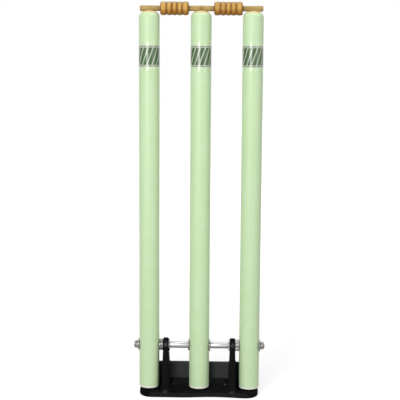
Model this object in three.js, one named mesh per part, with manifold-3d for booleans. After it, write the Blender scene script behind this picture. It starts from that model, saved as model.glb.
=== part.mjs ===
// Spring-back cricket stumps: three wooden stumps on a steel rod, carried by a cast base.
// Millimetres. The origin is on the ground under the middle stump's axis.
// +X is to the viewer's right, +Y runs away from the viewer and +Z is up.

import * as THREE from 'three';
import { mergeVertices } from 'three/addons/utils/BufferGeometryUtils.js';
import Module from 'manifold-3d';

const wasm = await Module();
wasm.setup();

// Clearances
const runningGap = 0.3;
const seatGap = 0.35;
const overrun = 2;
const weld = 0.6;

// Stumps
const stumpDiameter = 38.1;
const stumpLength = 711.2;
const domeHeight = 12.3;
const footRoundHeight = 3.4;
const footRoundDepth = 2;
const footGap = 3;
const grooveDepth = 2;
const pivotHeightOnStump = 82;
const stumpSides = 40;
const domeSteps = 7;
const footSteps = 3;

// Bails
const spigotRadius = 5.3;
const spigotEndRound = 1.2;
const spigotWaistShare = 0.94;
const spigotRoom = 0.7;
const longSpigot = 37.5;
const barrelInnerGap = 3.95;
const barrelOuterGap = 0.5;
const barrelLength = 52;
const barrelRadius = 12.5;
const barrelBeads = 5;
const notchDepth = 1.3;
const notchWidth = 1.6;
const endBeadGrowthShare = 0.12;
const beadRiseShares = [0, 0.72, 1, 0.72, 0];
const barrelEndRound = 2.6;
const barrelEndRiseShare = 0.7;
const bailMeetX = 0.4;
const bailGap = 0.6;
const bailSides = 20;

// Rod and what it carries
const rodDiameter = 8;
const rodThreadEnd = 1.2;
const rodTipChamfer = 0.8;
const washerOuter = 22;
const washerThickness = 1.8;
const washerPlay = 0.6;
const outerStackWashers = 3;
const spacerOuter = 12.4;
const rodNutFlats = 13;
const rodNutHeight = 5.5;
const rodNutCollarRadius = 5.9;
const rodNutCollarHeight = 1.4;
const roundSides = 24;

// Base casting
const plateEndMargin = 17.75;
const plateFront = 31;
const plateBackMargin = 6.75;
const plateThickness = 10.5;
const plateCornerRadius = 25;
const plateEdge = 1.4;
const cornerSteps = 7;
const wallThickness = 9;
const wallTop = 55.5;
const wallEndLand = 5.75;
const wallCornerRadius = 6;
const wallCornerSteps = 4;
const slotWidth = 101;
const slotHeight = 12;
const windowWidth = 18;
const eyeRadius = 13.5;
const eyeWidth = 11;
const ribPitch = 127;
const ribFootWidth = 15.5;
const ribNeckWidth = 10.2;
const ribFootFront = 21;
const neckShare = 0.95;
const neckDropShare = 0.3;

// Return springs and their eyes
const springHeightOnStump = 16.5;
const springWire = 1.6;
const springRadius = 3.8;
const springPitch = 2.6;
const springCurls = 12;
const stepsPerCurl = 8;
const springSides = 5;
const springLeadIn = 4;
const hookSteps = 7;
const hookEndShare = 0.68;
const eyeWire = 2.6;
const eyeRingRadius = 4.3;
const eyeRingSteps = 14;
const eyeWireSides = 8;
const eyeStandOff = 3.6;
const screwShankRadius = 1.7;
const screwDepth = 13;
const screwTip = 4;

// Anchor bolts at the back of the plate
const lugThickness = 8;
const lugWidth = 24;
const anchorShankRadius = 2;
const anchorStandOff = 2.4;
const anchorThreadEnd = 1.5;
const anchorNutFlats = 7;
const anchorNutHeight = 3.2;

// Places worked out from the sizes above
const stumpRadius = stumpDiameter / 2;
const ribX = ribPitch / 2;
const eyeInnerX = ribX - eyeWidth / 2;
const eyeOuterX = ribX + eyeWidth / 2;
const stackLength = outerStackWashers * washerThickness + (outerStackWashers - 1) * washerPlay;
const shortSpigot = stumpRadius + barrelInnerGap;
const barrelEndX = bailMeetX + bailGap / 2 + shortSpigot + barrelLength;

// The outer stumps stand as far out as the ribs with their washers, or the bails' barrels, need.
const ribsNeed = eyeOuterX + runningGap + stackLength + runningGap;
const barrelsNeed = barrelEndX + barrelOuterGap;
const stumpPitch = Math.max(ribsNeed, barrelsNeed) + stumpRadius;
const plateWidth = 2 * (stumpPitch + plateEndMargin);
const wallWidth = 2 * (stumpPitch + windowWidth / 2 + wallEndLand);
const grooveRadius = spigotRadius + spigotRoom;
const grooveHalfWidth = Math.sqrt(grooveRadius ** 2 - (grooveRadius - grooveDepth) ** 2);
const stumpFootZ = plateThickness + footGap;
const stumpTopZ = stumpFootZ + stumpLength;
const pivotZ = stumpFootZ + pivotHeightOnStump;
const rodRadius = rodDiameter / 2;
const rodBore = rodRadius + runningGap;
const bailAxisZ = stumpTopZ - grooveDepth + runningGap + spigotRadius;
const wallFront = stumpRadius + seatGap;
const wallBack = wallFront + wallThickness;
const springZ = stumpFootZ + springHeightOnStump;
const outerSideX = stumpPitch + stumpRadius;
const eyeRingY = stumpRadius + eyeStandOff + eyeRingRadius;
const hookReach = eyeRingRadius - eyeWire / 2 - springWire / 2 - runningGap;
const frontHookY = eyeRingY + hookReach + springRadius;
const coilStartY = frontHookY + springLeadIn;
const coilEndY = coilStartY + springCurls * springPitch;
const backHookY = coilEndY + springLeadIn;
const anchorRingY = backHookY + springRadius + hookReach;
const lugFront = anchorRingY + eyeRingRadius + anchorStandOff;
const lugBack = lugFront + lugThickness;
const plateBack = lugBack + plateBackMargin;

// Materials
const stumpPaint = () => new THREE.MeshStandardMaterial({ color: 0xcfe8bb, roughness: 0.45, metalness: 0 });
const bailWood = () => new THREE.MeshStandardMaterial({ color: 0xc6a05c, roughness: 0.5, metalness: 0 });
const blackIron = () => new THREE.MeshStandardMaterial({ color: 0x151515, roughness: 0.5, metalness: 0.2 });
const zincSteel = () => new THREE.MeshStandardMaterial({ color: 0xc9cacb, roughness: 0.3, metalness: 1 });
const springSteel = () => new THREE.MeshStandardMaterial({ color: 0x9a9b9d, roughness: 0.35, metalness: 1 });

// Closes a geometry: only positions are kept and vertices that meet are shared.
function closed(geometry) {
  const copy = geometry.clone();
  copy.deleteAttribute('normal');
  copy.deleteAttribute('uv');
  return mergeVertices(copy);
}

function solid(geometry) {
  const shell = closed(geometry);
  const mesh = new wasm.Mesh({
    numProp: 3,
    vertProperties: new Float32Array(shell.attributes.position.array),
    triVerts: new Uint32Array(shell.index.array),
  });
  return new wasm.Manifold(mesh);
}

function geometryOf(body) {
  const mesh = body.getMesh();
  const geometry = new THREE.BufferGeometry();
  geometry.setAttribute('position', new THREE.BufferAttribute(new Float32Array(mesh.vertProperties), 3));
  geometry.setIndex(new THREE.BufferAttribute(new Uint32Array(mesh.triVerts), 1));
  return geometry;
}

// Turns an outline of [radius, height] pairs about +Z.
function turned(outline, sides) {
  const points = outline.map(([r, h]) => new THREE.Vector2(r, h));
  const geometry = new THREE.LatheGeometry(points, sides);
  geometry.rotateX(Math.PI / 2);
  return closed(geometry);
}

function disc(radius, length, sides) {
  return turned([[0, 0], [radius, 0], [radius, length], [0, length]], sides);
}

function ring(inner, outer, length, sides) {
  return turned([[inner, 0], [outer, 0], [outer, length], [inner, length], [inner, 0]], sides);
}

// Lays a shape made along +Z along +X or +Y, starting at the given place.
function alongX(geometry, x, z) {
  geometry.rotateY(Math.PI / 2);
  geometry.translate(x, 0, z);
  return geometry;
}

function alongY(geometry, x, y, z) {
  geometry.rotateX(-Math.PI / 2);
  geometry.translate(x, y, z);
  return geometry;
}

function block(x0, x1, y0, y1, z0, z1) {
  const geometry = new THREE.BoxGeometry(x1 - x0, y1 - y0, z1 - z0);
  geometry.translate((x0 + x1) / 2, (y0 + y1) / 2, (z0 + z1) / 2);
  return geometry;
}

function roundedOutline(halfWidth, y0, y1, radius) {
  const shape = new THREE.Shape();
  shape.moveTo(-halfWidth + radius, y0);
  shape.lineTo(halfWidth - radius, y0);
  shape.absarc(halfWidth - radius, y0 + radius, radius, -Math.PI / 2, 0, false);
  shape.absarc(halfWidth - radius, y1 - radius, radius, 0, Math.PI / 2, false);
  shape.absarc(-halfWidth + radius, y1 - radius, radius, Math.PI / 2, Math.PI, false);
  shape.absarc(-halfWidth + radius, y0 + radius, radius, Math.PI, Math.PI * 1.5, false);
  return shape;
}

// An upright slab across Y: its outline is drawn in X and Z.
function uprightSlab(shape, y0, y1, steps) {
  const geometry = new THREE.ExtrudeGeometry(shape, {
    depth: y1 - y0,
    bevelEnabled: false,
    curveSegments: steps,
  });
  geometry.rotateX(Math.PI / 2);
  geometry.translate(0, y1, 0);
  return geometry;
}

// Outline with a round head, from z0 up to the head's centre and its radius above it.
function archOutline(x, radius, z0, centreZ) {
  const shape = new THREE.Shape();
  shape.moveTo(x - radius, z0);
  shape.lineTo(x + radius, z0);
  shape.absarc(x, centreZ, radius, 0, Math.PI, false);
  return shape;
}

// Outline of a stump from its foot up. The dome is as high as the stump where the groove's lips stand.
function stumpOutline() {
  const outline = [[0, stumpFootZ]];
  for (let i = 0; i <= footSteps; i += 1) {
    const turn = (i / footSteps) * (Math.PI / 2);
    const r = stumpRadius - footRoundDepth * (1 - Math.sin(turn));
    const h = stumpFootZ + footRoundHeight * (1 - Math.cos(turn));
    outline.push([r, h]);
  }
  const lipDrop = domeHeight * (1 - Math.sqrt(1 - (grooveHalfWidth / stumpRadius) ** 2));
  const domeFootZ = stumpTopZ + lipDrop - domeHeight;
  for (let i = 0; i < domeSteps; i += 1) {
    const turn = (i / domeSteps) * (Math.PI / 2);
    outline.push([stumpRadius * Math.cos(turn), domeFootZ + domeHeight * Math.sin(turn)]);
  }
  outline.push([0, domeFootZ + domeHeight]);
  return outline;
}

// Stump: a turned post with a domed top, a softly rounded foot, a cross bore for the rod,
// a groove across its top and a pilot hole for the screw eye.
function stumpGeometry(x) {
  const post = solid(turned(stumpOutline(), stumpSides));
  const across = stumpDiameter + 2 * overrun;
  const bore = solid(alongX(disc(rodBore, across, roundSides), -across / 2, pivotZ));
  const grooveZ = stumpTopZ - grooveDepth + grooveRadius;
  const groove = solid(alongX(disc(grooveRadius, across, roundSides), -across / 2, grooveZ));
  const holeDepth = screwDepth + runningGap;
  const hole = solid(alongY(
    disc(screwShankRadius + runningGap, holeDepth + overrun, eyeWireSides * 2),
    0,
    stumpRadius - holeDepth,
    springZ,
  ));
  const geometry = geometryOf(post.subtract(bore).subtract(groove).subtract(hole));
  geometry.translate(x, 0, 0);
  return geometry;
}

// The barrel's outline from its inner end: beads with a notch between each two, rounded off at both ends.
function barrelOutline() {
  const endBead = (barrelLength / barrelBeads) * (1 + endBeadGrowthShare);
  const midBead = (barrelLength - 2 * endBead) / (barrelBeads - 2);
  const points = [];
  let start = shortSpigot;
  for (let bead = 0; bead < barrelBeads; bead += 1) {
    const first = bead === 0;
    const last = bead === barrelBeads - 1;
    const width = first || last ? endBead : midBead;
    const from = start + (first ? 0 : notchWidth / 2);
    const to = start + width - (last ? 0 : notchWidth / 2);
    beadRiseShares.forEach((rise, i) => {
      const share = i / (beadRiseShares.length - 1);
      const low = (first && i === 0) || (last && share === 1);
      const next = (first && i === 1) || (last && i === beadRiseShares.length - 2);
      const drop = low ? barrelEndRound : notchDepth * (1 - (next ? barrelEndRiseShare : rise));
      points.push([barrelRadius - drop, from + (to - from) * share]);
    });
    start += width;
  }
  return points;
}

// Bail outline from the inner end: short spigot, beaded barrel, long spigot.
function bailOutline() {
  const waist = spigotRadius * spigotWaistShare;
  const end = shortSpigot + barrelLength + longSpigot;
  return [
    [0, 0],
    [spigotRadius - spigotEndRound, 0],
    [spigotRadius, spigotEndRound],
    [waist, shortSpigot],
    ...barrelOutline(),
    [waist, shortSpigot + barrelLength],
    [spigotRadius, end - spigotEndRound],
    [spigotRadius - spigotEndRound, end],
    [0, end],
  ];
}

function bailGeometry(side) {
  const geometry = turned(bailOutline(), bailSides);
  const innerEnd = bailMeetX + side * (bailGap / 2);
  geometry.rotateY(side * (Math.PI / 2));
  geometry.translate(innerEnd, 0, bailAxisZ);
  return geometry;
}

// Hexagon nut along +Z with its corners turned off, and an optional round collar on top.
function nutGeometry(flats, height, bore, collarRadius, collarHeight) {
  const cornerRadius = flats / 2 / Math.cos(Math.PI / 6);
  const chamfer = cornerRadius - flats / 2;
  const edge = cornerRadius - chamfer / 3;
  const hexagon = solid(disc(cornerRadius, height, 6));
  const turnedOff = solid(turned([
    [0, 0],
    [flats / 2, 0],
    [edge, chamfer],
    [edge, height - chamfer],
    [flats / 2, height],
    [0, height],
  ], roundSides));
  let nut = hexagon.intersect(turnedOff);
  let top = height;
  if (collarHeight > 0) {
    const collar = disc(collarRadius, collarHeight + weld, roundSides);
    collar.translate(0, 0, height - weld);
    nut = nut.add(solid(collar));
    top += collarHeight;
  }
  const hole = disc(bore, top + 2 * overrun, roundSides);
  hole.translate(0, 0, -overrun);
  return geometryOf(nut.subtract(solid(hole)));
}

// Rib in Y and Z with draft: it narrows evenly from its foot up to its neck.
function ribGeometry(x) {
  const neck = eyeRadius * neckShare;
  const neckZ = pivotZ - eyeRadius * neckDropShare;
  const footZ = plateThickness - weld;
  const shape = new THREE.Shape();
  shape.moveTo(-ribFootFront, footZ);
  shape.lineTo(wallBack - weld, footZ);
  shape.lineTo(wallBack - weld, wallTop - weld);
  shape.lineTo(neck, neckZ);
  shape.lineTo(-neck, neckZ);
  const unit = new THREE.ExtrudeGeometry(shape, { depth: 1, bevelEnabled: false });
  const place = unit.attributes.position;
  for (let i = 0; i < place.count; i += 1) {
    const y = place.getX(i);
    const z = place.getY(i);
    const up = (z - footZ) / (neckZ - footZ);
    const width = ribFootWidth + (ribNeckWidth - ribFootWidth) * up;
    const across = x + (place.getZ(i) - 1 / 2) * width;
    place.setXYZ(i, across, y, z);
  }
  return unit;
}

function plateGeometry() {
  const shape = roundedOutline(plateWidth / 2, -plateFront, plateBack, plateCornerRadius);
  const geometry = new THREE.ExtrudeGeometry(shape, {
    depth: plateThickness - 2 * plateEdge,
    bevelThickness: plateEdge,
    bevelSize: plateEdge,
    bevelOffset: -plateEdge,
    bevelSegments: 1,
    curveSegments: cornerSteps,
  });
  geometry.translate(0, 0, plateEdge);
  return geometry;
}

function wallGeometry() {
  const half = wallWidth / 2;
  const corner = wallCornerRadius;
  const shape = new THREE.Shape();
  shape.moveTo(-half, plateThickness - weld);
  shape.lineTo(half, plateThickness - weld);
  shape.absarc(half - corner, wallTop - corner, corner, 0, Math.PI / 2, false);
  shape.absarc(-half + corner, wallTop - corner, corner, Math.PI / 2, Math.PI, false);
  return uprightSlab(shape, wallFront, wallBack, wallCornerSteps);
}

function castingGeometry() {
  let body = solid(plateGeometry()).add(solid(wallGeometry()));
  for (const side of [-1, 1]) {
    const eye = disc(eyeRadius, eyeWidth, stumpSides);
    body = body.add(solid(ribGeometry(side * ribX)));
    body = body.add(solid(alongX(eye, side * ribX - eyeWidth / 2, pivotZ)));
  }
  for (const place of [-1, 0, 1]) {
    const x = place * stumpPitch;
    const lug = archOutline(x, lugWidth / 2, plateThickness - weld, springZ);
    body = body.add(solid(uprightSlab(lug, lugFront, lugBack, cornerSteps * 2)));
    const opening = archOutline(x, windowWidth / 2, plateThickness, springZ);
    const window = uprightSlab(opening, wallFront - overrun, wallBack + overrun, cornerSteps * 2);
    body = body.subtract(solid(window));
    const boltHole = disc(anchorShankRadius + runningGap, lugThickness + 2 * overrun, eyeWireSides * 2);
    body = body.subtract(solid(alongY(boltHole, x, lugFront - overrun, springZ)));
  }
  const slotTop = plateThickness + slotHeight;
  const slotHalf = slotWidth / 2;
  const slot = block(-slotHalf, slotHalf, wallFront - overrun, wallBack + overrun, plateThickness, slotTop);
  body = body.subtract(solid(slot));
  const boreLength = ribPitch + eyeWidth + 2 * overrun;
  const bore = alongX(disc(rodBore, boreLength, roundSides), -boreLength / 2, pivotZ);
  return geometryOf(body.subtract(solid(bore)));
}

// Eye: a wire ring lying level with a shank that runs along +Y from shankStart to shankEnd.
function eyeGeometry(x, ringY, shankRadius, shankStart, shankEnd, tip) {
  const wire = new THREE.TorusGeometry(eyeRingRadius, eyeWire / 2, eyeWireSides, eyeRingSteps);
  wire.translate(x, ringY, springZ);
  const length = shankEnd - shankStart;
  const shank = turned([[0, 0], [shankRadius, 0], [shankRadius, length - tip], [0, length]], eyeWireSides * 2);
  return solid(wire).add(solid(alongY(shank, x, shankStart, springZ)));
}

function screwEyeGeometry(x) {
  const start = stumpRadius - screwDepth;
  const end = eyeRingY - eyeRingRadius;
  const wire = eyeGeometry(0, -eyeRingY, screwShankRadius, -end, -start, screwTip);
  const geometry = geometryOf(wire);
  geometry.rotateZ(Math.PI);
  geometry.translate(x, 0, 0);
  return geometry;
}

function anchorBoltGeometry(x) {
  const start = anchorRingY + eyeRingRadius;
  const end = lugBack + runningGap + anchorNutHeight + anchorThreadEnd;
  return geometryOf(eyeGeometry(x, anchorRingY, anchorShankRadius, start, end, rodTipChamfer));
}

// A wire of even section along a run of points, with flat ends: one ring of corners at each point.
function sweptWire(points, radius, sides) {
  const positions = [];
  const index = [];
  const tangents = points.map((point, i) => {
    const before = points[Math.max(i - 1, 0)];
    const after = points[Math.min(i + 1, points.length - 1)];
    return after.clone().sub(before).normalize();
  });
  let normal = new THREE.Vector3(1, 0, 0);
  points.forEach((point, i) => {
    normal = normal.clone().addScaledVector(tangents[i], -normal.dot(tangents[i])).normalize();
    const binormal = tangents[i].clone().cross(normal);
    for (let k = 0; k < sides; k += 1) {
      const turn = (2 * Math.PI * k) / sides;
      const corner = point.clone()
        .addScaledVector(normal, radius * Math.cos(turn))
        .addScaledVector(binormal, radius * Math.sin(turn));
      positions.push(corner.x, corner.y, corner.z);
    }
  });
  for (let i = 0; i + 1 < points.length; i += 1) {
    for (let k = 0; k < sides; k += 1) {
      const a = i * sides + k;
      const b = i * sides + ((k + 1) % sides);
      index.push(a, b, b + sides, a, b + sides, a + sides);
    }
  }
  const last = (points.length - 1) * sides;
  for (let k = 1; k + 1 < sides; k += 1) {
    index.push(0, k + 1, k);
    index.push(last, last + k, last + k + 1);
  }
  const geometry = new THREE.BufferGeometry();
  geometry.setAttribute('position', new THREE.BufferAttribute(new Float32Array(positions), 3));
  geometry.setIndex(index);
  return geometry;
}

// The spring's centre line: a hook through the front eye, the curls, and a hook through the back eye.
function springPoints(x) {
  const points = [];
  const hookEnd = 2 * Math.PI * hookEndShare;
  for (let i = 0; i <= hookSteps; i += 1) {
    const turn = hookEnd * (1 - i / hookSteps);
    points.push(new THREE.Vector3(
      x,
      frontHookY - springRadius * Math.sin(turn),
      springZ + springRadius * Math.cos(turn),
    ));
  }
  points.push(new THREE.Vector3(x, (frontHookY + coilStartY) / 2, springZ + springRadius));
  const steps = springCurls * stepsPerCurl;
  for (let i = 0; i <= steps; i += 1) {
    const turn = (2 * Math.PI * i) / stepsPerCurl;
    points.push(new THREE.Vector3(
      x + springRadius * Math.sin(turn),
      coilStartY + (springPitch * i) / stepsPerCurl,
      springZ + springRadius * Math.cos(turn),
    ));
  }
  points.push(new THREE.Vector3(x, (coilEndY + backHookY) / 2, springZ + springRadius));
  for (let i = 0; i <= hookSteps; i += 1) {
    const turn = (hookEnd * i) / hookSteps;
    points.push(new THREE.Vector3(
      x,
      backHookY + springRadius * Math.sin(turn),
      springZ + springRadius * Math.cos(turn),
    ));
  }
  return points;
}

// Smallest space between two stretches of the wire that aren't neighbours along it.
function leastSelfGap(points, wire) {
  let least = Infinity;
  for (let i = 0; i < points.length; i += 1) {
    let along = 0;
    for (let j = i + 1; j < points.length; j += 1) {
      along += points[j].distanceTo(points[j - 1]);
      if (along > wire * Math.PI) {
        least = Math.min(least, points[i].distanceTo(points[j]) - wire);
      }
    }
  }
  return least;
}

const stumps = new THREE.Group();
stumps.name = 'spring_back_stumps';

function place(name, geometry, material) {
  const mesh = new THREE.Mesh(geometry, material);
  mesh.name = name;
  stumps.add(mesh);
}

place('base_casting', castingGeometry(), blackIron());

// Each side is named as the viewer sees it.
const sides = [['left', -1], ['right', 1]];
const places = [['left', -1], ['middle', 0], ['right', 1]];

for (const [name, at] of places) {
  const x = at * stumpPitch;
  place(`stump_${name}`, stumpGeometry(x), stumpPaint());
  place(`screw_eye_${name}`, screwEyeGeometry(x), zincSteel());
  place(`return_spring_${name}`, sweptWire(springPoints(x), springWire / 2, springSides), springSteel());
  place(`anchor_bolt_${name}`, anchorBoltGeometry(x), zincSteel());
  const anchorNut = nutGeometry(anchorNutFlats, anchorNutHeight, anchorShankRadius + runningGap, 0, 0);
  place(`anchor_nut_${name}`, alongY(anchorNut, x, lugBack + runningGap, springZ), zincSteel());
}

for (const [name, side] of sides) {
  place(`bail_${name}`, bailGeometry(side), bailWood());
}

// Rod and, on each side from the middle outwards: washer, spacer, washer, eye, three washers, stump, washer, nut.
const nutTop = rodNutHeight + rodNutCollarHeight;
const outerWasherX = outerSideX + runningGap;
const rodNutX = outerWasherX + washerThickness + runningGap;
const rodEndX = rodNutX + nutTop + rodThreadEnd;
const rodOutline = [
  [0, -rodEndX],
  [rodRadius - rodTipChamfer, -rodEndX],
  [rodRadius, -rodEndX + rodTipChamfer],
  [rodRadius, rodEndX - rodTipChamfer],
  [rodRadius - rodTipChamfer, rodEndX],
  [0, rodEndX],
];
place('pivot_rod', alongX(turned(rodOutline, roundSides), 0, pivotZ), zincSteel());

function onRod(geometry, side, from, length) {
  const start = side > 0 ? from : -from - length;
  return alongX(geometry, start, pivotZ);
}

function washer() {
  return ring(rodBore, washerOuter / 2, washerThickness, roundSides);
}

for (const [name, side] of sides) {
  const middleWasherX = stumpRadius + runningGap;
  const spacerX = middleWasherX + washerThickness + runningGap;
  const innerWasherX = eyeInnerX - runningGap - washerThickness;
  const spacerLength = innerWasherX - runningGap - spacerX;
  place(`middle_washer_${name}`, onRod(washer(), side, middleWasherX, washerThickness), zincSteel());
  const spacer = ring(rodBore, spacerOuter / 2, spacerLength, roundSides);
  place(`spacer_${name}`, onRod(spacer, side, spacerX, spacerLength), zincSteel());
  place(`eye_washer_${name}`, onRod(washer(), side, innerWasherX, washerThickness), zincSteel());
  const stackFrom = eyeOuterX + runningGap;
  const stackTo = stumpPitch - stumpRadius - runningGap;
  const stackPitch = (stackTo - stackFrom - washerThickness) / Math.max(outerStackWashers - 1, 1);
  for (let i = 0; i < outerStackWashers; i += 1) {
    const x = stackFrom + i * stackPitch;
    place(`stack_washer_${name}_${i + 1}`, onRod(washer(), side, x, washerThickness), zincSteel());
  }
  place(`outer_washer_${name}`, onRod(washer(), side, outerWasherX, washerThickness), zincSteel());
  const nut = nutGeometry(rodNutFlats, rodNutHeight, rodBore, rodNutCollarRadius, rodNutCollarHeight);
  if (side < 0) {
    nut.rotateY(Math.PI);
    nut.translate(0, 0, nutTop);
  }
  place(`rod_nut_${name}`, onRod(nut, side, rodNutX, nutTop), zincSteel());
}

console.log('least gap of a spring to itself', leastSelfGap(springPoints(0), springWire).toFixed(2));

export default stumps;
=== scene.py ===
"""Spring-back cricket stumps: three painted posts with turned bails on a cast base, dressed in Blender."""

import math

import bmesh
import bpy
from bmesh.types import BMEdge, BMVert
from bpy.props import FloatProperty, FloatVectorProperty, IntProperty, PointerProperty
from bpy.types import Operator, Panel, PropertyGroup
from mathutils import Matrix, Vector


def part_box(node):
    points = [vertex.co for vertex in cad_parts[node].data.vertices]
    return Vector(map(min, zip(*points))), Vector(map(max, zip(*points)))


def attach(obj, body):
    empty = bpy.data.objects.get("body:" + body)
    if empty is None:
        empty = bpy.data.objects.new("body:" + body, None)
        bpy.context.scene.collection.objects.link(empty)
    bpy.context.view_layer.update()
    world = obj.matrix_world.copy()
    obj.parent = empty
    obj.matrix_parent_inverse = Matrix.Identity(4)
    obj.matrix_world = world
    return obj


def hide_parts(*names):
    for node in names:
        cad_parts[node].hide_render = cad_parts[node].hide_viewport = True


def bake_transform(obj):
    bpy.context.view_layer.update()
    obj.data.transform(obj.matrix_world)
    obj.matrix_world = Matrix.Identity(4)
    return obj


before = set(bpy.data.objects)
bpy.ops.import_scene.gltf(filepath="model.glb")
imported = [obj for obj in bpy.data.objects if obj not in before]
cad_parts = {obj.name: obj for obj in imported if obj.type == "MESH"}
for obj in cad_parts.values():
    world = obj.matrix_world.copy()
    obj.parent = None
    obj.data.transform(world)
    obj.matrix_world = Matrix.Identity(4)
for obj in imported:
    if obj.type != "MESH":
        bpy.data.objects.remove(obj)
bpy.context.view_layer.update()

bl_info = {
    "name": "Spring-back cricket stumps",
    "version": (1, 0, 0),
    "blender": (4, 5, 0),
    "location": "3D View > Sidebar > Stumps",
    "description": "Builds the looks of a spring-back wicket around its packed frame",
    "category": "Add Mesh",
}

FULL_TURN = 2 * math.pi
MERGE_DISTANCE = 1e-6
SIDES = {"left": -1, "right": 1}
PLACES = ("left", "middle", "right")
X_AXIS = Vector((1, 0, 0))
Y_AXIS = Vector((0, 1, 0))
Z_AXIS = Vector((0, 0, 1))

POST_LOW, POST_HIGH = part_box("stump_middle")
ROD_LOW, ROD_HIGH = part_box("pivot_rod")
EYE_LOW, EYE_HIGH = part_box("screw_eye_middle")
BAIL_LOW, BAIL_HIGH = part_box("bail_left")
ROD_RADIUS = (ROD_HIGH.z - ROD_LOW.z) / 2
PIVOT_Z = (ROD_LOW.z + ROD_HIGH.z) / 2
PIVOT = Vector((0, 0, PIVOT_Z))
SPRING_Z = (EYE_LOW.z + EYE_HIGH.z) / 2
BAIL_Z = (BAIL_LOW.z + BAIL_HIGH.z) / 2

# Room between a shank and the hole that it passes through.
FIT = 0.0003

# Depth and pitch of the screw eyes' threads.
SCREW_DEPTH, SCREW_PITCH = 0.0004, 0.0013

# Plain necks of the shanks next to their rings, and the run from neck to thread.
SCREW_NECK, SCREW_RUN = 0.0055, 0.0005
BOLT_NECK, BOLT_RUN = 0.0028, 0.0002

# Shares of a thread's pitch between which its crest lies.
CREST_START, CREST_END = 0.42, 0.58

# How sharply a bail's beads round over, at the barrel's ends and into the notches, and points along a bead.
END_POWER, NOTCH_POWER, BEAD_STEPS = 3.6, 4.0, 16

# Faces round the wire of the screw eyes' and anchor bolts' rings, and steps round the ring.
RING_SIDES, RING_STEPS = 20, 48

# Half the width of the soft edges where paint ends, and of those in the print.
PAINT_EDGE, PRINT_EDGE = 0.0003, 0.00018

# Places on either side where a painted highlight lies on the casting's paint, and how far each reaches.
PAINTED_HIGHLIGHTS = (
    ((0.0635, -0.0128, PIVOT_Z + 0.003), 0.0058),
    ((0.0635, -0.0262, 0.0106), 0.0064),
    ((0.0495, 0.0190, 0.0112), 0.0042),
)


def linear(red, green, blue):
    """Turns 0-255 screen values into the linear colour that Blender's nodes take."""
    shares = [value / 255 for value in (red, green, blue)]
    return tuple(s / 12.92 if s <= 0.04045 else ((s + 0.055) / 1.055) ** 2.4 for s in shares)


def number(label, about, value, **extra):
    """A property for a plain number."""
    return FloatProperty(name=label, description=about, default=value, **extra)


def length(label, about, value, low=0.0):
    """A property for a length in metres."""
    return number(label, about, value, min=low, precision=5, unit="LENGTH", subtype="DISTANCE")


def share(label, about, value):
    """A property for a share from 0 to 1."""
    return number(label, about, value, min=0, max=1, subtype="FACTOR")


def angle(label, about, degrees):
    """A property for an angle, written in degrees."""
    return number(label, about, math.radians(degrees), unit="ROTATION")


def power(label, about, watts):
    """A property for the power of a light."""
    return number(label, about, watts, min=0, unit="POWER")


def count(label, about, value, low=3):
    """A property for a whole number."""
    return IntProperty(name=label, description=about, default=value, min=low)


def colour(label, about, red, green, blue):
    """A property for the colour of something, written as the screen shows it."""
    return FloatVectorProperty(
        name=label, description=f"Colour of {about}", default=linear(red, green, blue),
        min=0, max=1, size=3, subtype="COLOR",
    )


class StumpSettings(PropertyGroup):
    """Sizes and colours of the three posts."""

    dome_height: length("Dome height", "Height of the post's domed top", 0.0123)
    foot_height: length("Foot rounding height", "How high the foot's rounding reaches", 0.0034)
    foot_depth: length("Foot rounding depth", "How far the foot's rounding goes in", 0.002)
    groove_radius: length("Groove radius", "Radius of the groove that the bails lie in", 0.006)
    groove_depth: length("Groove depth", "Depth of the groove below the top", 0.002)
    pilot_radius: length("Pilot radius", "Radius of the hole for the screw eye", 0.002)
    pilot_depth: length("Pilot depth", "Depth of the hole for the screw eye", 0.0133)
    sides: count("Sides", "Faces round the post", 96)
    bare_crown: length("Bare crown", "Height of the unpainted wood at the top", 0.0044)
    bare_foot: length("Bare foot", "Height of the pale rim at the foot", 0.0043)
    paint: colour("Paint", "the satin paint", 204, 232, 182)
    paint_thin: colour("Thin paint", "the paint where it is brushed out thin", 214, 238, 194)
    ash: colour("Bare wood", "the bare ash", 236, 219, 166)
    ash_dark: colour("Bare wood grain", "the ash grain", 212, 186, 128)
    rim: colour("Foot rim", "the sealed rim at the foot", 253, 253, 238)


class BandSettings(PropertyGroup):
    """Sizes and colours of the printed film round each post."""

    print_low: length("Print low", "Height of the print's lower edge", 0.6225)
    print_high: length("Print high", "Height of the print's upper edge", 0.6604)
    margin: length("Clear margin", "Clear film above and below the print", 0.0072)
    stand_off: length("Stand-off", "Gap between paint and film", 0.00004)
    thickness: length("Thickness", "Thickness of the film", 0.00014)
    rule: length("Rule", "Height of the thin rules at the print's edges", 0.0016)
    bar_pitch: length("Bar pitch", "Distance between two sloping bars", 0.0092)
    bar_share: share("Bar share", "Share of the pitch that a bar takes", 0.69)
    bar_slope: number("Bar slope", "Sideways run of a bar for its height", 0.36)
    ground: colour("Ground", "the print's ground", 190, 200, 176)
    rule_grey: colour("Rule grey", "the thin rules", 134, 141, 134)
    bar_green: colour("Bar green", "the bars inside", 62, 104, 48)
    bar_edge: colour("Bar edge", "the bars' outlines", 32, 60, 30)


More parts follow.
